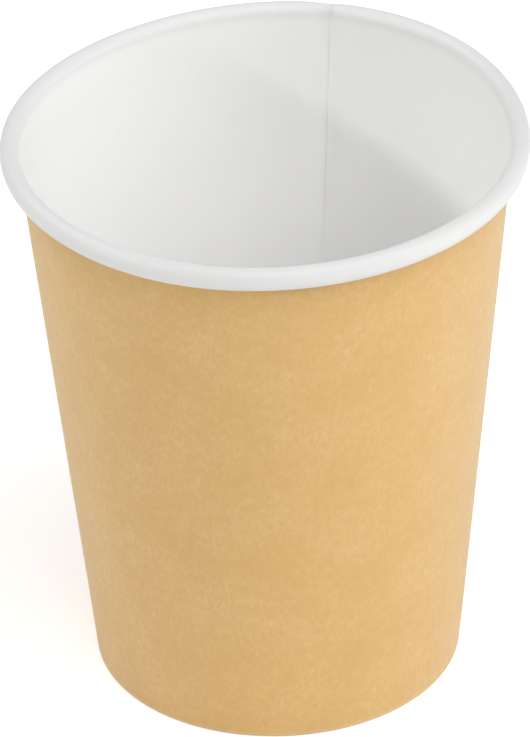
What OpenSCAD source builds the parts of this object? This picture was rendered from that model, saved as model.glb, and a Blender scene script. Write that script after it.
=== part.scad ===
// Single-wall paper cup for hot drinks, about 240 ml.
// One fan of board makes the side wall. Its two ends lap at the back, its top edge is rolled outward
// into the rim, and its foot is folded inward and up round the skirt of the pressed bottom disc.
// The cup stands on the fold of its foot, with its axis on Z, and the seam faces +Y.

/* [Cup] */
// Height from the table to the top of the rim
cup_h = 91; // [60:1:160]
// Diameter over the rolled rim
rim_d = 80; // [60:1:110]
// Diameter of the outside at the foot
foot_d = 56.3; // [40:0.1:90]
// Thickness of the wall board
board_t = 0.35; // [0.25:0.01:0.5]

/* [Rolled rim] */
// Width of the roll across its section
roll_w = 2.9; // [2.6:0.1:5]
// Height of the roll
roll_h = 3.6; // [3:0.1:6]
// How far the edge is wound round from the inside of the wall, in degrees
roll_turn = 315; // [270:5:330]
// Where the roll starts to tighten, in degrees below its outermost point
roll_tuck = 60; // [20:5:90]

/* [Seam] */
// Width of the lap, measured round the rim
lap_w = 8; // [5:0.5:12]
// Film of glue between the two layers
glue_t = 0.03; // [0.02:0.01:0.08]
// Width over which the outer end steps out over the inner one
step_w = 1.5; // [0.8:0.1:4]
// Groove left beside the inner cut edge
groove_w = 0.3; // [0.2:0.05:1]
// Direction of the inner cut edge
seam_at = 90; // [0:5:355]

/* [Foot and bottom] */
// Height of the drinking side of the bottom above the table
bottom_h = 7.5; // [5:0.5:15]
// Thickness of the bottom board
bottom_t = 0.33; // [0.25:0.01:0.5]
// Outer radius of the bend between the bottom and its skirt
bottom_bend = 0.9; // [0.6:0.1:2]
// Height of the folded edge inside the foot
hem_h = 6; // [3:0.5:12]
// Room on each side of the skirt
skirt_gap = 0.08; // [0.06:0.01:0.2]
// How far the fold of the foot is pressed flat
foot_press = 0.08; // [0.02:0.01:0.15]

/* [Mouth out of round] */
// Pull of the mouth into an oval
oval_by = 0.63; // [0:0.05:2]
// Direction of the oval's long way
oval_at = 71; // [0:1:180]
// Pull of the mouth into three soft corners
three_by = 0.37; // [0:0.05:1]
// Direction of one of the three corners
three_at = 78; // [0:1:120]
// Pull of the mouth into four soft corners
four_by = 0.21; // [0:0.05:1]
// Direction of one of the four corners
four_at = 85; // [0:1:90]

/* [Fineness] */
// Steps round the wall
wall_steps = 66; // [60:1:120]
// Steps round the roll's section
roll_steps = 15; // [10:1:24]
// Steps round the fold of the foot
fold_steps = 6; // [4:1:12]

/* [Hidden] */
$fn = 180;

kraft_brown = [0.83, 0.68, 0.46];
board_white = [0.95, 0.95, 0.94];

lap_steps = 3;
step_steps = 4;
bend_steps = 8;

// The roll's section is an ellipse, and the wall runs up tangent to its inner side
roll_rx = roll_w / 2;
roll_rz = roll_h / 2;
roll_r = rim_d / 2 - roll_rx;
roll_z = cup_h - roll_rz;
foot_to_roll = [roll_r - foot_d / 2, roll_z];
lean = atan2(foot_to_roll[0], foot_to_roll[1]) - asin((roll_rx - board_t) / norm(foot_to_roll));
up = [sin(lean), cos(lean)];
out = [cos(lean), -sin(lean)];
roll_from = 180 - atan(roll_rz / roll_rx * tan(lean));
roll_to = roll_from - roll_turn;
wall_top = [roll_r + roll_rx * cos(roll_from), roll_z + roll_rz * sin(roll_from)];

// Two layers lie in the seam, and the roll's tail clears both
layer = board_t + glue_t;
two_layers = layer + board_t;
tail_core = 0.1;
tail_room = roll_rx - two_layers - glue_t;
tail_share = tail_room / roll_rx / abs(cos(roll_to));
tail_press = min(1, (tail_share * roll_rx - tail_core) / two_layers);

// The skirt of the bottom hangs in the fold of the foot
fold_r = bottom_t / 2 + skirt_gap;
fold_z = fold_r + board_t - foot_press;
skirt_end = board_t + layer + skirt_gap;
slot_top = bottom_h - bottom_bend;

// Angles along the sheet, counted from its inner cut edge
deg_per_mm = 360 / (PI * rim_d);
lap = lap_w * deg_per_mm;
step_end = 360 - groove_w * deg_per_mm;
step_start = step_end - step_w * deg_per_mm;
level_end = lap + 2 * step_w * deg_per_mm;

// Smooth rise from 0 to 1
function ease(x) = let (c = max(0, min(1, x))) c * c * (3 - 2 * c);

// Radius of the wall's white inner face at height z
function inner_r(z) = wall_top[0] + (z - wall_top[1]) * tan(lean);

// How far the outer end stands out from the wall at angle a along the sheet
function step_out(a) = layer * ease((a - step_start) / (step_end - step_start));

// How far the fold is lifted where two layers share the foot
function fold_lift(a) =
    a > 180 ? step_out(a) : layer * (1 - ease((a - lap) / (level_end - lap)));

// Share of the roll's full size at angle p of its section
function tuck(p, end) = 1 - (1 - end) * max(0, (-p - roll_tuck) / (-roll_to - roll_tuck));

// One face of the sheet from the hem's edge to the roll's tail, d below the white face
function face(d, lift) =
    let (
        z = fold_z + lift,
        c = [inner_r(z), z] - fold_r * out,
        rise = (hem_h - z) / cos(lean)
    )
    concat(
        [c - (fold_r + d) * out + rise * up],
        [for (i = [0 : fold_steps])
            let (p = 180 * i / fold_steps)
            c - (fold_r + d) * (cos(p) * out + sin(p) * up)],
        [[inner_r(bottom_h), bottom_h] + d * out],
        [for (i = [0 : roll_steps])
            let (
                p = roll_from - roll_turn * i / roll_steps,
                k = tuck(p, tail_share),
                e = d * tuck(p, tail_press)
            )
            [roll_r + (k * roll_rx - e) * cos(p), roll_z + (k * roll_rz - e) * sin(p)]]
    );

// How far the mouth is pulled out of round in direction q
function pull(q) =
    oval_by * cos(2 * (q - oval_at))
    + three_by * cos(3 * (q - three_at))
    + four_by * cos(4 * (q - four_at));

// A point of the section set round the axis; the wall keeps its slant length as the mouth is pulled
function placed(pt, q) =
    let (
        share = max(0, min(1, (pt[1] - bottom_h) / (wall_top[1] - bottom_h))),
        by = share * pull(q),
        r = pt[0] + by
    )
    [r * cos(q), r * sin(q), pt[1] - by * tan(lean)];

// Closed section of the sheet at angle a: the white face out and the kraft face back
function section(a) =
    let (
        d = step_out(a),
        lift = fold_lift(a),
        white_face = face(d, lift),
        kraft_face = face(d + board_t, lift),
        n = len(white_face)
    )
    [for (i = [0 : 2 * n - 1])
        placed(i < n ? white_face[i] : kraft_face[2 * n - 1 - i], seam_at - a)];

stations = concat(
    [for (i = [0 : lap_steps]) lap * i / lap_steps],
    [(lap + level_end) / 2],
    [for (i = [0 : wall_steps]) level_end + (step_start - level_end) * i / wall_steps],
    [for (i = [1 : step_steps]) step_start + (step_end - step_start) * i / step_steps],
    [for (i = [0 : lap_steps]) 360 + lap * i / lap_steps]
);

// The sheet's closed section carried through all stations, with a cut edge at each end
module wound_sheet() {
    n = len(section(0));
    last = n * (len(stations) - 1);
    half = n / 2;
    polyhedron(
        points = [for (a = stations) each section(a)],
        faces = concat(
            [for (j = [0 : len(stations) - 2], i = [0 : n - 1], k = [0, 1])
                let (
                    a = j * n + i,
                    b = j * n + (i + 1) % n,
                    c = b + n,
                    d = a + n
                )
                k == 0 ? [a, b, c] : [a, c, d]],
            [for (i = [0 : half - 2]) [i, n - 1 - i, n - 2 - i, i + 1]],
            [for (i = [0 : half - 2]) [last + i, last + i + 1, last + n - 2 - i, last + n - 1 - i]]
        ),
        convexity = 8
    );
}

// Rolled rim, lapped wall and folded foot, all from one piece of board
module side_wall() {
    color(kraft_brown)
        difference() {
            wound_sheet();
            translate([0, 0, -board_t])
                cylinder(d = foot_d + 2 * board_t, h = board_t);
        }
}

// Pressed bottom: a flat panel with a skirt turned down all round
module bottom_disc() {
    corner = [inner_r(slot_top) - (skirt_gap + bottom_bend) / cos(lean), slot_top];
    skirt_out = [inner_r(skirt_end) - skirt_gap / cos(lean), skirt_end];
    skirt_in = skirt_out - [bottom_t / cos(lean), 0];
    bend = [for (i = [0 : bend_steps]) 90 - (90 + lean) * i / bend_steps];
    color(board_white)
        rotate_extrude()
            polygon(concat(
                [[0, bottom_h]],
                [for (p = bend) corner + bottom_bend * [cos(p), sin(p)]],
                [skirt_out, skirt_in],
                [for (i = [bend_steps : -1 : 0])
                    corner + (bottom_bend - bottom_t) * [cos(bend[i]), sin(bend[i])]],
                [[0, bottom_h - bottom_t]]
            ));
}

side_wall();
bottom_disc();
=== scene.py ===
import math

import bpy
from mathutils import Matrix, Vector


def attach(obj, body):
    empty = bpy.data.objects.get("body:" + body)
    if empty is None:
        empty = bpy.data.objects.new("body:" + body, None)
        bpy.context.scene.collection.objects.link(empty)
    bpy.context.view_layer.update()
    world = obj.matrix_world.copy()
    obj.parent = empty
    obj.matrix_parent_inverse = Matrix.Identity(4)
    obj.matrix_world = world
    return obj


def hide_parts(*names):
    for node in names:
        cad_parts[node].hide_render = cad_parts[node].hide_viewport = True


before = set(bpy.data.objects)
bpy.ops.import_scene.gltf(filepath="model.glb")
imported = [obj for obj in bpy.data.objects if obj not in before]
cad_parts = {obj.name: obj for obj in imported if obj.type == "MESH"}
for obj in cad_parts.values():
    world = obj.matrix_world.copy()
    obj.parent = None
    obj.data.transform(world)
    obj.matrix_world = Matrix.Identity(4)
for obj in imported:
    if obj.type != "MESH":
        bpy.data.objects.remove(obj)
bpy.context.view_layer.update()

MM = 0.001

# The cup's sizes in millimetres and degrees, as the solids have them
CUP_HEIGHT = 91.0
RIM_DIAMETER = 80.0
FOOT_DIAMETER = 56.3
BOARD = 0.35
GLUE = 0.03
LAYER = BOARD + GLUE
TWO_LAYERS = LAYER + BOARD

ROLL_HALF_WIDTH = 1.45
ROLL_HALF_HEIGHT = 1.8
ROLL_TURN = 315.0
ROLL_TUCK = 60.0
ROLL_RADIUS = RIM_DIAMETER / 2 - ROLL_HALF_WIDTH
ROLL_CENTRE_Z = CUP_HEIGHT - ROLL_HALF_HEIGHT

LAP_WIDTH = 8.0
SEAM_AT = 90.0

BOTTOM_HEIGHT = 7.5
BOTTOM_BOARD = 0.33
BOTTOM_BEND = 0.9
HEM_HEIGHT = 6.0
SKIRT_GAP = 0.08
FOOT_PRESS = 0.08

# Pull of the mouth out of round: lobes, millimetres, direction
MOUTH_PULL = ((2, 0.63, 71.0), (3, 0.37, 78.0), (4, 0.21, 85.0))

# The seam is pressed flatter than in the solids: a long step, a fine groove and thinned ends
STEP_WIDTH = 4.5
GROOVE_WIDTH = 0.06
PRESSED_BY = 0.26
PRESSED_WIDTH = 2.6

# It leans a little: this many millimetres round the wall for each one down from the rim
SEAM_DRIFT = 0.0135

# In the roll the lap's two layers are crushed, so the rim runs nearly level over the seam
CRUSHED_BY = 0.6
CRUSHED_WITHIN = 60.0

# Steps of the fine mesh, and the rings of the bottom's flat panel as shares of its radius
FOLD_STEPS = 16
WALL_ROWS = 14
ROLL_STEPS = 42
PRESSED_STEPS = 4
LAP_STEPS = 6
LEVEL_STEPS = 6
ROUND_STEPS = 270
STEP_STEPS = 12
BEND_STEPS = 12
DISC_STEPS = 180
PANEL_RINGS = (0.12, 0.3, 0.5, 0.7, 0.85, 0.95)

# The materials follow the flat blank. The roll's crest, which takes painted shade, lies on it past the
# wall's top, and each zone fades out over its width
BLANK_MAP = "flat_blank"
CREST_PAST_WALL = 2.5
ZONE_WIDTHS = {"Fold width": 0.9 * MM, "Crest width": 4.0 * MM, "End width": 0.5 * MM}

# Over these spans the grain's clouds and fibres show from none to most
CLOUD_SPAN = (0.36, 0.64)
FIBRE_SPAN = (0.35, 0.65)

# The stage: half the table's width and the height the lamps aim at, in metres, and levels of white
FLOOR_HALF = 6.0
LIT_HEIGHT = 0.06
FLOOR_OWN_WHITE = 0.42
SURROUND_LIGHT = 0.15


def sin(a):
    return math.sin(math.radians(a))


def cos(a):
    return math.cos(math.radians(a))


def tan(a):
    return math.tan(math.radians(a))


# The wall's lean, and where it meets the roll
RUN = ROLL_RADIUS - FOOT_DIAMETER / 2
LEAN = math.degrees(
    math.atan2(RUN, ROLL_CENTRE_Z)
    - math.asin((ROLL_HALF_WIDTH - BOARD) / math.hypot(RUN, ROLL_CENTRE_Z))
)
UP = Vector((sin(LEAN), cos(LEAN)))
OUT = Vector((cos(LEAN), -sin(LEAN)))
ROLL_FROM = 180 - math.degrees(math.atan(ROLL_HALF_HEIGHT / ROLL_HALF_WIDTH * tan(LEAN)))
ROLL_TO = ROLL_FROM - ROLL_TURN
WALL_TOP = Vector((
    ROLL_RADIUS + ROLL_HALF_WIDTH * cos(ROLL_FROM),
    ROLL_CENTRE_Z + ROLL_HALF_HEIGHT * sin(ROLL_FROM),
))
TAIL_SHARE = (ROLL_HALF_WIDTH - TWO_LAYERS - GLUE) / ROLL_HALF_WIDTH / abs(cos(ROLL_TO))

FOLD_RADIUS = BOTTOM_BOARD / 2 + SKIRT_GAP
FOLD_Z = FOLD_RADIUS + BOARD - FOOT_PRESS
SKIRT_END = BOARD + LAYER + SKIRT_GAP
SLOT_TOP = BOTTOM_HEIGHT - BOTTOM_BEND

DEG_PER_MM = 360 / (math.pi * RIM_DIAMETER)
LAP = LAP_WIDTH * DEG_PER_MM
STEP_END = 360 - GROOVE_WIDTH * DEG_PER_MM
STEP_START = STEP_END - STEP_WIDTH * DEG_PER_MM
LEVEL_END = LAP + 2 * STEP_WIDTH * DEG_PER_MM
PRESSED_END = PRESSED_WIDTH * DEG_PER_MM


def spaced(start, end, steps):
    """Even values from start to end, both ends included."""
    return [start + (end - start) * i / steps for i in range(steps + 1)]


def ease(x):
    """Smooth rise from 0 to 1."""
    x = max(0.0, min(1.0, x))
    return x * x * (3 - 2 * x)


def inner_radius(z):
    """Radius of the white inner face of the wall at height z."""
    return WALL_TOP.x + (z - WALL_TOP.y) * tan(LEAN)


def step_out(angle):
    """How far the sheet's outer end stands out from the wall."""
    return LAYER * ease((angle - STEP_START) / (STEP_END - STEP_START))


def pressed(from_end):
    """How much thinner the board is at this many degrees from a cut end."""
    return PRESSED_BY * (1 - ease(from_end / PRESSED_END))


def fold_lift(angle):
    """How far the fold is lifted where two layers share the foot."""
    if angle > 180:
        return step_out(angle)
    return LAYER * (1 - ease((angle - LAP) / (LEVEL_END - LAP)))


def crushed(angle):
    """The share of its thickness that the board loses in the roll, where two layers lap."""
    return CRUSHED_BY * fold_lift(angle) / LAYER


def sheet_face(depth, lift, crush=0.0):
    """One face of the board from the hem's edge to the roll's tail, depth below the white face."""
    fold_at = Vector((inner_radius(FOLD_Z + lift), FOLD_Z + lift)) - FOLD_RADIUS * OUT
    hem_rise = (HEM_HEIGHT - FOLD_Z - lift) / cos(LEAN)
    points = [fold_at - (FOLD_RADIUS + depth) * OUT + hem_rise * UP]
    for p in spaced(0, 180, FOLD_STEPS):
        points.append(fold_at - (FOLD_RADIUS + depth) * (cos(p) * OUT + sin(p) * UP))
    for z in spaced(BOTTOM_HEIGHT, WALL_TOP.y, WALL_ROWS)[:-1]:
        points.append(Vector((inner_radius(z), z)) + depth * OUT)
    for p in spaced(ROLL_FROM, ROLL_TO, ROLL_STEPS):
        tuck = max(0.0, (-p - ROLL_TUCK) / (-ROLL_TO - ROLL_TUCK))
        size = 1 - (1 - TAIL_SHARE) * tuck
        below = depth * (1 - crush * ease((ROLL_FROM - p) / CRUSHED_WITHIN))
        points.append(Vector((
            ROLL_RADIUS + (size * ROLL_HALF_WIDTH - below) * cos(p),
            ROLL_CENTRE_Z + (size * ROLL_HALF_HEIGHT - below) * sin(p),
        )))
    return points


def flat_lengths(points):
    """Length along the paper to each point of a face."""
    lengths = [0.0]
    for a, b in zip(points, points[1:]):
        lengths.append(lengths[-1] + (b - a).length)
    return lengths


# The flat blank is a fan, so a place on it is a reach from the fan's centre and a turn along it
ALONG = flat_lengths(sheet_face(0, 0))
FAN_REACH = inner_radius(0) / sin(LEAN)
FAN_TURN = (360 + LAP) * sin(LEAN)
FOLD_ALONG = ALONG[1 + FOLD_STEPS // 2]
ROLL_ALONG = ALONG[2 + FOLD_STEPS + WALL_ROWS]
CREST_ALONG = ROLL_ALONG + CREST_PAST_WALL


def pull(direction):
    """How far the mouth is pulled out of round."""
    return sum(by * cos(lobes * (direction - at)) for lobes, by, at in MOUTH_PULL)


def placed(point, angle):
    """A point of the section set round the axis, in metres; the angle counts from the inner cut edge."""
    drift = SEAM_DRIFT * (WALL_TOP.y - point.y) / point.x
    direction = SEAM_AT - angle + math.degrees(drift)
    share = (point.y - BOTTOM_HEIGHT) / (WALL_TOP.y - BOTTOM_HEIGHT)
    by = max(0.0, min(1.0, share)) * pull(direction)
    r = point.x + by
    # The wall keeps its slant length, so what is pulled out also sinks
    z = max(0.0, point.y - by * tan(LEAN))
    return Vector((r * cos(direction), r * sin(direction), z)) * MM


def mesh_object(name, verts, faces, looks, sharp, flat_uv, materials):
    """A piece from its points and faces; looks gives each face its material."""
    mesh = bpy.data.meshes.new(name)
    mesh.from_pydata(verts, [], faces)
    for material in materials:
        mesh.materials.append(material)
    mesh.polygons.foreach_set("material_index", looks)
    mesh.polygons.foreach_set("use_smooth", [True] * len(faces))
    pairs = {tuple(sorted(edge.vertices)): edge for edge in mesh.edges}
    for pair in sharp:
        pairs[tuple(sorted(pair))].use_edge_sharp = True
    blank_map = mesh.uv_layers.new(name=BLANK_MAP)
    for polygon in mesh.polygons:
        for loop in polygon.loop_indices:
            blank_map.data[loop].uv = flat_uv[polygon.index][loop - polygon.loop_start]
    mesh.update()
    piece = bpy.data.objects.new(name, mesh)
    bpy.context.scene.collection.objects.link(piece)
    return piece


def wound_wall(materials):
    """The side wall: the board's section carried round from its inner cut edge to its outer one."""
    angles = (
        spaced(0, PRESSED_END, PRESSED_STEPS)
        + spaced(PRESSED_END, LAP, LAP_STEPS)[1:]
        + spaced(LAP, LEVEL_END, LEVEL_STEPS)[1:]
        + spaced(LEVEL_END, STEP_START, ROUND_STEPS)[1:]
        + spaced(STEP_START, STEP_END, STEP_STEPS)[1:]
        + spaced(360, 360 + LAP - PRESSED_END, LAP_STEPS)
        + spaced(360 + LAP - PRESSED_END, 360 + LAP, PRESSED_STEPS)[1:]
    )
    half = len(ALONG)
    ring = 2 * half

    def on_blank(i, angle):
        """Place on the flat blank, in metres."""
        rank = i if i < half else ring - 1 - i
        reach = FAN_REACH + ALONG[rank]
        turn = angle * sin(LEAN)
        return (reach * sin(turn) * MM, (reach * cos(turn) - FAN_REACH) * MM)

    verts = []
    for angle in angles:
        out_by, lift, crush = step_out(angle), fold_lift(angle), crushed(angle)
        white = sheet_face(out_by + pressed(angle), lift, crush)
        kraft = sheet_face(out_by + BOARD - pressed(360 + LAP - angle), lift, crush)
        verts += [placed(p, angle) for p in white + kraft[::-1]]

    faces, looks, flat_uv, sharp = [], [], [], []
    white_side, kraft_side, cut_side = 0, 1, 2
    for j in range(len(angles) - 1):
        for i in range(ring):
            k = (i + 1) % ring
            faces.append((j * ring + i, j * ring + k, (j + 1) * ring + k, (j + 1) * ring + i))
            cut = i in (half - 1, ring - 1)
            looks.append(cut_side if cut else white_side if i < half else kraft_side)
            flat_uv.append([on_blank(m, angles[n]) for m, n in ((i, j), (k, j), (k, j + 1), (i, j + 1))])
            if i in (0, half - 1, half, ring - 1):
                sharp.append((j * ring + i, (j + 1) * ring + i))
    for j, turned in ((0, False), (len(angles) - 1, True)):
        start = j * ring
        for i in range(half - 1):
            quad = [i, ring - 1 - i, ring - 2 - i, i + 1]
            if turned:
                quad.reverse()
            faces.append(tuple(start + q for q in quad))
            looks.append(cut_side)
            flat_uv.append([on_blank(q, angles[j]) for q in quad])
        for i in range(ring):
            sharp.append((start + i, start + (i + 1) % ring))
    return mesh_object("wound_wall", verts, faces, looks, sharp, flat_uv, materials)


def pressed_bottom(materials):
    """The bottom disc: a flat panel with its skirt turned down, turned round the axis."""
    bend_x = inner_radius(SLOT_TOP) - (SKIRT_GAP + BOTTOM_BEND) / cos(LEAN)
    bend_at = Vector((bend_x, SLOT_TOP))
    skirt_out = Vector((inner_radius(SKIRT_END) - SKIRT_GAP / cos(LEAN), SKIRT_END))
    skirt_in = skirt_out - Vector((BOTTOM_BOARD / cos(LEAN), 0))
    bend = spaced(90, -LEAN, BEND_STEPS)
    panel = [bend_x * share for share in PANEL_RINGS]
    top = [Vector((r, BOTTOM_HEIGHT)) for r in panel]
    top += [bend_at + BOTTOM_BEND * Vector((cos(p), sin(p))) for p in bend] + [skirt_out]
    inner_bend = BOTTOM_BEND - BOTTOM_BOARD
    under = [skirt_in]
    under += [bend_at + inner_bend * Vector((cos(p), sin(p))) for p in reversed(bend)]
    under += [Vector((r, BOTTOM_HEIGHT - BOTTOM_BOARD)) for r in reversed(panel)]
    profile = top + under
    verts = [
        Vector((p.x * cos(q), p.x * sin(q), p.y)) * MM
        for q in (360 * j / DISC_STEPS for j in range(DISC_STEPS))
        for p in profile
    ]
    count = len(profile)
    top_centre, under_centre = len(verts), len(verts) + 1
    verts.append(Vector((0, 0, BOTTOM_HEIGHT)) * MM)
    verts.append(Vector((0, 0, BOTTOM_HEIGHT - BOTTOM_BOARD)) * MM)
    along_top = flat_lengths([Vector((0, BOTTOM_HEIGHT))] + top)[1:]
    along_under = flat_lengths([Vector((0, BOTTOM_HEIGHT - BOTTOM_BOARD))] + under[::-1])[:0:-1]
    reach = along_top + along_under

    # The disc is cut from the same board, clear of the fan's fold, roll and ends
    disc_x = (FAN_REACH + ROLL_ALONG / 2) * sin(FAN_TURN / 2)
    disc_y = (FAN_REACH + ROLL_ALONG / 2) * cos(FAN_TURN / 2) - FAN_REACH

    def on_blank(i, j):
        """Place on the flat board, in metres."""
        turn = 360 * j / DISC_STEPS
        return ((disc_x + reach[i] * cos(turn)) * MM, (disc_y + reach[i] * sin(turn)) * MM)

    faces, looks, flat_uv, sharp = [], [], [], []
    white_side, cut_side = 0, 1
    cut_at = len(top) - 1
    centre = (disc_x * MM, disc_y * MM)
    for j in range(DISC_STEPS):
        n = (j + 1) % DISC_STEPS
        for i in range(count - 1):
            faces.append((j * count + i, j * count + i + 1, n * count + i + 1, n * count + i))
            looks.append(cut_side if i == cut_at else white_side)
            flat_uv.append([on_blank(a, b) for a, b in ((i, j), (i + 1, j), (i + 1, j + 1), (i, j + 1))])
        for i in (cut_at, cut_at + 1):
            sharp.append((j * count + i, n * count + i))
        faces.append((j * count, n * count, top_centre))
        faces.append((n * count + count - 1, j * count + count - 1, under_centre))
        looks += [white_side, white_side]
        flat_uv.append([on_blank(0, j), on_blank(0, j + 1), centre])
        flat_uv.append([on_blank(count - 1, j + 1), on_blank(count - 1, j), centre])
    return mesh_object("pressed_bottom", verts, faces, looks, sharp, flat_uv, materials)


def add_node(tree, kind, at, label=None, **settings):
    """A shader node at a place, with its label and its settings set on the node itself."""
    node = tree.nodes.new(kind)
    node.location = at
    if label:
        node.label = label
    for name, value in settings.items():
        setattr(node, name, value)
    return node


def wire(tree, start, end):
    """Joins an output to an input."""
    tree.links.new(start, end)


def sum_node(tree, kind, at, label, first, second=None, third=None):
    """A sum on single values; each of the three is a number or an output."""
    node = add_node(tree, "ShaderNodeMath", at, label, operation=kind)
    for socket, value in zip(node.inputs, (first, second, third)):
        if isinstance(value, (int, float)):
            socket.default_value = value
        elif value is not None:
            wire(tree, value, socket)
    return node.outputs["Value"]


def ranged(tree, at, label, value, from_low, from_high, to_low=0.0, to_high=1.0, smooth=False):
    """Maps a value from one range to another, held at its ends, evenly or with a soft start and end."""
    kind = "SMOOTHSTEP" if smooth else "LINEAR"
    node = add_node(tree, "ShaderNodeMapRange", at, label, interpolation_type=kind)
    node.inputs["From Min"].default_value = from_low
    node.inputs["From Max"].default_value = from_high
    node.inputs["To Min"].default_value = to_low
    node.inputs["To Max"].default_value = to_high
    wire(tree, value, node.inputs["Value"])
    return node.outputs["Result"]


def noise_node(tree, at, label, place, scale, detail, roughness):
    """A soft noise at a place; the scale is an output that gives waves a metre."""
    node = add_node(tree, "ShaderNodeTexNoise", at, label)
    node.inputs["Detail"].default_value = detail
    node.inputs["Roughness"].default_value = roughness
    wire(tree, place, node.inputs["Vector"])
    wire(tree, scale, node.inputs["Scale"])
    return node.outputs["Fac"]


def new_group(name, inputs, outputs):
    """An empty node group with its named inputs, their first values and its outputs."""
    group = bpy.data.node_groups.new(name, "ShaderNodeTree")
    for socket_name, value in inputs:
        kind = "NodeSocketVector" if value is None else "NodeSocketFloat"
        socket = group.interface.new_socket(socket_name, in_out="INPUT", socket_type=kind)
        if value is not None:
            socket.default_value = value
    for socket_name in outputs:
        group.interface.new_socket(socket_name, in_out="OUTPUT", socket_type="NodeSocketFloat")
    start = add_node(group, "NodeGroupInput", (-1200, 0))
    end = add_node(group, "NodeGroupOutput", (900, 0))
    return group, start, end


def board_grain_group():
    """How paperboard varies over its face: clouds of pulp, fibres along the grain and small flecks."""
    group, start, end = new_group(
        "Board grain",
        (("Place on blank", None), ("Cloud scale", 500.0), ("Fibre scale", 1700.0), ("Fleck scale", 2600.0)),
        ("Clouds", "Fibres", "Flecks", "Height"),
    )
    place = start.outputs["Place on blank"]
    cloud_scale = start.outputs["Cloud scale"]
    broad_scale = sum_node(group, "MULTIPLY", (-950, 500), "Broad scale", cloud_scale, 0.2)
    broad = noise_node(group, (-700, 500), "Broad clouds", place, broad_scale, 2.0, 0.5)
    small = noise_node(group, (-700, 250), "Small clouds", place, cloud_scale, 3.0, 0.5)
    both = sum_node(group, "ADD", (-450, 400), "Both sizes", broad, small)
    clouds = sum_node(group, "MULTIPLY", (-250, 400), "Clouds", both, 0.5)

    # Fibres lie mostly along the board's grain, so their pattern is drawn out that way
    grain = add_node(group, "ShaderNodeMapping", (-950, -100), "Along the grain")
    grain.inputs["Scale"].default_value = (1.0, 0.45, 1.0)
    wire(group, place, grain.inputs["Vector"])
    drawn_out, fibre_scale = grain.outputs["Vector"], start.outputs["Fibre scale"]
    fibres = noise_node(group, (-700, 0), "Fibres", drawn_out, fibre_scale, 4.0, 0.7)

    # Only the strongest peaks of a fine noise show as flecks
    fleck_scale = start.outputs["Fleck scale"]
    peaks = noise_node(group, (-700, -300), "Fine peaks", place, fleck_scale, 1.0, 0.5)
    flecks = ranged(group, (-450, -300), "Flecks", peaks, 0.66, 0.76)

    height = sum_node(group, "MULTIPLY_ADD", (0, -50), "Height", clouds, 0.6, fibres)
    for name, value in (("Clouds", clouds), ("Fibres", fibres), ("Flecks", flecks), ("Height", height)):
        wire(group, value, end.inputs[name])
    return group


def sheet_zones_group():
    """Where the flat blank is worked, at its foot's fold and two cut ends, and the roll's crest, which takes
    painted shade.
    """
    group, start, end = new_group(
        "Sheet zones",
        (("Place on blank", None), *ZONE_WIDTHS.items()),
        ("Fold", "Crest", "Ends"),
    )
    # The blank is a fan, so a place on it turns into a reach from its centre and a turn along it
    shifted = add_node(group, "ShaderNodeVectorMath", (-950, 200), "From the fan's centre", operation="ADD")
    shifted.inputs[1].default_value = (0, FAN_REACH * MM, 0)
    wire(group, start.outputs["Place on blank"], shifted.inputs[0])
    length = add_node(group, "ShaderNodeVectorMath", (-750, 300), "Reach", operation="LENGTH")
    wire(group, shifted.outputs["Vector"], length.inputs[0])
    reach = length.outputs["Value"]
    along = sum_node(group, "SUBTRACT", (-550, 300), "Along the section", reach, FAN_REACH * MM)

    to_fold = sum_node(group, "SUBTRACT", (-350, 350), "To the fold", along, FOLD_ALONG * MM)
    off_fold = sum_node(group, "ABSOLUTE", (-150, 350), "Off the fold", to_fold)
    share = sum_node(group, "DIVIDE", (50, 350), "In fold widths", off_fold, start.outputs["Fold width"])
    fold = ranged(group, (250, 350), "Fold", share, 1.0, 0.0)
    to_crest = sum_node(group, "SUBTRACT", (-350, 100), "To the crest", along, CREST_ALONG * MM)
    off_crest = sum_node(group, "ABSOLUTE", (-150, 100), "Off the crest", to_crest)
    share = sum_node(group, "DIVIDE", (50, 100), "In crest widths", off_crest, start.outputs["Crest width"])
    crest = ranged(group, (250, 100), "Crest", share, 1.0, 0.0, smooth=True)

    parts = add_node(group, "ShaderNodeSeparateXYZ", (-750, -200), "Across and up")
    wire(group, shifted.outputs["Vector"], parts.inputs["Vector"])
    turn = sum_node(group, "ARCTAN2", (-550, -200), "Turn", parts.outputs["X"], parts.outputs["Y"])
    from_start = sum_node(group, "MULTIPLY", (-350, -150), "From the inner end", turn, reach)
    turn_left = sum_node(group, "SUBTRACT", (-350, -350), "Turn left", math.radians(FAN_TURN), turn)
    from_end = sum_node(group, "MULTIPLY", (-150, -350), "From the outer end", turn_left, reach)
    nearer = sum_node(group, "MINIMUM", (50, -250), "From the nearer end", from_start, from_end)
    share = sum_node(group, "DIVIDE", (250, -250), "In end widths", nearer, start.outputs["End width"])
    ends = ranged(group, (450, -250), "Ends", share, 1.0, 0.0)
    for name, value in (("Fold", fold), ("Crest", crest), ("Ends", ends)):
        wire(group, value, end.inputs[name])
    return group


# Both groups are made once, and each paper sets its own values on them
GRAIN = board_grain_group()
ZONES = sheet_zones_group()


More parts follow.
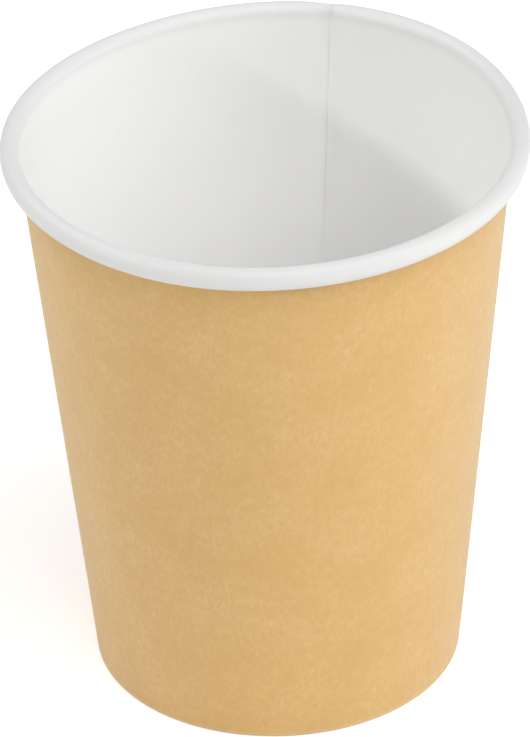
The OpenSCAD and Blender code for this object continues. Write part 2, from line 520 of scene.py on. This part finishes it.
class Paper:
    """A paper material in the making: its node tree, its shader and the grain of its board."""

    def __init__(self, name, cloud_scale, fibre_scale, fleck_scale):
        self.material = bpy.data.materials.new(name)
        self.material.use_nodes = True
        self.tree = self.material.node_tree
        self.shader = self.tree.nodes["Principled BSDF"]
        uv = add_node(self.tree, "ShaderNodeUVMap", (-1700, 0), "Place on blank", uv_map=BLANK_MAP)
        self.place = uv.outputs["UV"]
        scales = {"Cloud scale": cloud_scale, "Fibre scale": fibre_scale, "Fleck scale": fleck_scale}
        self.grain = self.group(GRAIN, (-1450, 100), scales)

    def group(self, node_group, at, values):
        """Places a node group on the blank with this material's own values."""
        node = add_node(self.tree, "ShaderNodeGroup", at, node_group.name, node_tree=node_group)
        wire(self.tree, self.place, node.inputs["Place on blank"])
        for name, value in values.items():
            node.inputs[name].default_value = value
        return node.outputs

    def amount(self, at, label, value, most, span=(0.0, 1.0)):
        """An amount from 0 to most as the value goes over its span."""
        return ranged(self.tree, at, label, value, *span, 0.0, most)

    def tint(self, at, label, base, colour, amount):
        """Mixes a colour, or what is mixed so far, towards a colour."""
        mix = add_node(self.tree, "ShaderNodeMix", at, label, data_type="RGBA")
        mix.inputs["B"].default_value = (*colour, 1.0)
        if isinstance(base, tuple):
            mix.inputs["A"].default_value = (*base, 1.0)
        else:
            wire(self.tree, base, mix.inputs["A"])
        wire(self.tree, amount, mix.inputs["Factor"])
        return mix.outputs["Result"]

    def mottled(self, base, clouded, most_clouds, fibred, most_fibres):
        """The base colour under its clouds and its fibres, each with the most of it that shows."""
        clouds = self.amount((-1100, 450), "Cloud amount", self.grain["Clouds"], most_clouds, CLOUD_SPAN)
        fibres = self.amount((-1100, 200), "Fibre amount", self.grain["Fibres"], most_fibres, FIBRE_SPAN)
        colour = self.tint((-850, 400), "Clouded", base, clouded, clouds)
        return self.tint((-650, 350), "Fibred", colour, fibred, fibres)

    def finish(self, colour, smoothest, roughest, relief):
        """Joins the colour, a roughness that follows the fibres and a relief in metres to the shader."""
        roughness = ranged(
            self.tree, (-450, -100), "Roughness", self.grain["Fibres"], *FIBRE_SPAN, smoothest, roughest
        )
        wire(self.tree, colour, self.shader.inputs["Base Color"])
        wire(self.tree, roughness, self.shader.inputs["Roughness"])
        bump = add_node(self.tree, "ShaderNodeBump", (-250, -400), "Relief")
        bump.inputs["Distance"].default_value = relief
        wire(self.tree, self.grain["Height"], bump.inputs["Height"])
        wire(self.tree, bump.outputs["Normal"], self.shader.inputs["Normal"])
        return self.material


def kraft_outside():
    """The brown outer face: even kraft, softly clouded, paler at its cut ends and where the fold rubs."""
    paper = Paper("kraft outside", cloud_scale=520.0, fibre_scale=1700.0, fleck_scale=2600.0)
    zones = paper.group(ZONES, (-1450, -250), ZONE_WIDTHS)
    flecks = paper.amount((-1100, -50), "Fleck amount", paper.grain["Flecks"], 0.3)
    rubbed = sum_node(paper.tree, "MULTIPLY", (-1100, -300), "Rubbed", zones["Fold"], paper.grain["Fibres"])
    ends = paper.amount((-1100, -500), "Bare fibre at the ends", zones["Ends"], 0.35)
    colour = paper.mottled(
        base=(0.755, 0.470, 0.157),
        clouded=(0.838, 0.553, 0.232),
        most_clouds=0.9,
        fibred=(0.733, 0.453, 0.155),
        most_fibres=0.8,
    )
    colour = paper.tint((-450, 300), "Flecked", colour, (0.87, 0.66, 0.36), flecks)
    colour = paper.tint((-250, 250), "Rubbed at the fold", colour, (0.86, 0.69, 0.46), rubbed)
    colour = paper.tint((-100, 200), "Paler at the ends", colour, (0.87, 0.72, 0.49), ends)
    paper.shader.inputs["Specular IOR Level"].default_value = 0.2
    paper.shader.inputs["Sheen Weight"].default_value = 0.3
    paper.shader.inputs["Sheen Roughness"].default_value = 0.6
    return paper.finish(colour, smoothest=0.52, roughest=0.64, relief=0.04 * MM)


def coated_white_inside():
    """The white face with its thin coating: even, with painted shade on the roll's crest, greyer at the seam
    there.
    """
    paper = Paper("coated white inside", cloud_scale=260.0, fibre_scale=900.0, fleck_scale=1800.0)
    zones = paper.group(ZONES, (-1450, -250), ZONE_WIDTHS)
    both = sum_node(paper.tree, "MULTIPLY", (-1100, -300), "End and crest", zones["Ends"], zones["Crest"])
    line = paper.amount((-850, -300), "Line over the rim", both, 0.4)
    colour = paper.mottled(
        base=(0.91, 0.906, 0.90),
        clouded=(0.895, 0.891, 0.885),
        most_clouds=0.8,
        fibred=(0.915, 0.911, 0.906),
        most_fibres=0.5,
    )
    # Painted shade: the roll's crest is darkened so that its top, lit from above, shows no brighter than the
    # inside
    colour = paper.tint((-450, 300), "Painted shade on the crest", colour, (0.685, 0.683, 0.679), zones["Crest"])
    colour = paper.tint((-250, 250), "Greyer at the seam", colour, (0.50, 0.498, 0.494), line)
    paper.shader.inputs["Specular IOR Level"].default_value = 0.4
    return paper.finish(colour, smoothest=0.38, roughest=0.5, relief=0.01 * MM)


def cut_board_edge():
    """The board's cut edge: bare white pulp, rough and a little uneven."""
    paper = Paper("cut board edge", cloud_scale=900.0, fibre_scale=4200.0, fleck_scale=3000.0)
    flecks = paper.amount((-1100, -50), "Fleck amount", paper.grain["Flecks"], 0.5)
    colour = paper.mottled(
        base=(0.86, 0.85, 0.825),
        clouded=(0.80, 0.785, 0.75),
        most_clouds=0.8,
        fibred=(0.89, 0.88, 0.86),
        most_fibres=0.7,
    )
    colour = paper.tint((-450, 300), "Flecked", colour, (0.60, 0.56, 0.48), flecks)
    return paper.finish(colour, smoothest=0.8, roughest=0.95, relief=0.06 * MM)


def camera_as_photographed():
    """The photograph's camera, solved from the cup's outline: distances in rim radii, angles in degrees."""
    rim_radius = RIM_DIAMETER / 2 * MM
    focal_px, distance, above, roll = 7829.0, 30.0, 32.95, -1.28
    aim_u, aim_v = 273.1, 417.2
    turned = 15.3
    width, height, sensor = 530, 737, 36.0
    centre_u, centre_v = (width - 1) / 2, (height - 1) / 2

    right = Vector((1, 0, 0))
    up = Vector((0, sin(above), cos(above)))
    ahead = Vector((0, cos(above), -sin(above)))
    place = Vector((0, 0, 1)) - distance * ahead
    looks_at = Vector(((aim_u - centre_u) / focal_px, (aim_v - centre_v) / focal_px, 1)).normalized()
    to_aim = Vector((0, 0, 1)).rotation_difference(looks_at).to_matrix()
    rolled = Matrix.Rotation(math.radians(roll), 3, looks_at)
    axes = rolled @ to_aim @ Matrix((right, -up, ahead))
    spin = Matrix.Rotation(math.radians(turned), 3, "Z")
    columns = Matrix((spin @ axes[0], spin @ -axes[1], spin @ -axes[2])).transposed()

    data = bpy.data.cameras.new("camera")
    data.sensor_width = sensor
    data.lens = focal_px * sensor / height
    data.clip_end = 20.0
    camera = bpy.data.objects.new("camera", data)
    camera.matrix_world = Matrix.Translation(spin @ place * rim_radius) @ columns.to_4x4()
    bpy.context.scene.collection.objects.link(camera)
    bpy.context.scene.camera = camera


def soft_light(name, direction, height, reach, size, watts):
    """A square soft box round the cup: its direction and its height are angles seen from the cup."""
    data = bpy.data.lights.new(name, "AREA")
    data.shape = "SQUARE"
    data.size = size
    data.energy = watts
    lamp = bpy.data.objects.new(name, data)
    towards = Vector((cos(height) * cos(direction), cos(height) * sin(direction), sin(height)))
    lamp.location = Vector((0, 0, LIT_HEIGHT)) + reach * towards
    lamp.rotation_euler = (-towards).to_track_quat("-Z", "Y").to_euler()
    bpy.context.scene.collection.objects.link(lamp)


def white_surround():
    """A little light from all round, which camera, glossy and clear rays see as plain white."""
    world = bpy.data.worlds.new("surround")
    world.use_nodes = True
    bpy.context.scene.world = world
    tree = world.node_tree
    background = tree.nodes["Background"]
    background.inputs["Color"].default_value = (1, 1, 1, 1)
    path = add_node(tree, "ShaderNodeLightPath", (-900, 0)).outputs
    camera_ray, glossy_ray = path["Is Camera Ray"], path["Is Glossy Ray"]
    seen = sum_node(tree, "MAXIMUM", (-650, 50), "Seen or mirrored", camera_ray, glossy_ray)
    seen = sum_node(tree, "MAXIMUM", (-450, 0), "Seen in any way", seen, path["Is Transmission Ray"])
    level = ranged(tree, (-250, 0), "Level", seen, 0.0, 1.0, SURROUND_LIGHT, 1.0)
    wire(tree, level, background.inputs["Strength"])


def pale_floor():
    """A white table top that keeps the cup's soft shadow and meets the white backdrop."""
    corners = [(x * FLOOR_HALF, y * FLOOR_HALF, 0) for x, y in ((-1, -1), (1, -1), (1, 1), (-1, 1))]
    mesh = bpy.data.meshes.new("floor")
    mesh.from_pydata(corners, [], [(0, 1, 2, 3)])
    floor = bpy.data.objects.new("floor", mesh)
    bpy.context.scene.collection.objects.link(floor)
    material = bpy.data.materials.new("white table")
    material.use_nodes = True
    tree = material.node_tree
    shader = tree.nodes["Principled BSDF"]
    shader.inputs["Base Color"].default_value = (0.8, 0.8, 0.8, 1)
    shader.inputs["Roughness"].default_value = 1.0
    shader.inputs["Specular IOR Level"].default_value = 0.0
    shader.inputs["Emission Color"].default_value = (1, 1, 1, 1)
    seen = add_node(tree, "ShaderNodeLightPath", (-600, -200)).outputs["Is Camera Ray"]
    lift = sum_node(tree, "MULTIPLY", (-300, -200), "Table's own white", seen, FLOOR_OWN_WHITE)
    wire(tree, lift, shader.inputs["Emission Strength"])
    mesh.materials.append(material)


coated = coated_white_inside()
kraft = kraft_outside()
cut_edge = cut_board_edge()

wall = wound_wall([coated, kraft, cut_edge])
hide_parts("side_wall")
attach(wall, "root")

bottom = pressed_bottom([coated, cut_edge])
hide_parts("bottom_disc")
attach(bottom, "root")

pale_floor()
white_surround()
camera_as_photographed()
soft_light("wide window front right", direction=-46, height=54, reach=1.6, size=1.5, watts=17.4)
soft_light("wide window back right", direction=15, height=45, reach=1.6, size=1.5, watts=5.2)
soft_light("low window right", direction=0, height=18, reach=1.2, size=0.8, watts=4.0)
soft_light("window left", direction=170, height=43, reach=1.2, size=0.8, watts=5.8)
soft_light("small lamp front left", direction=219.6, height=20.6, reach=1.2, size=0.085, watts=2.3)

bpy.context.scene.view_settings.view_transform = "Standard"
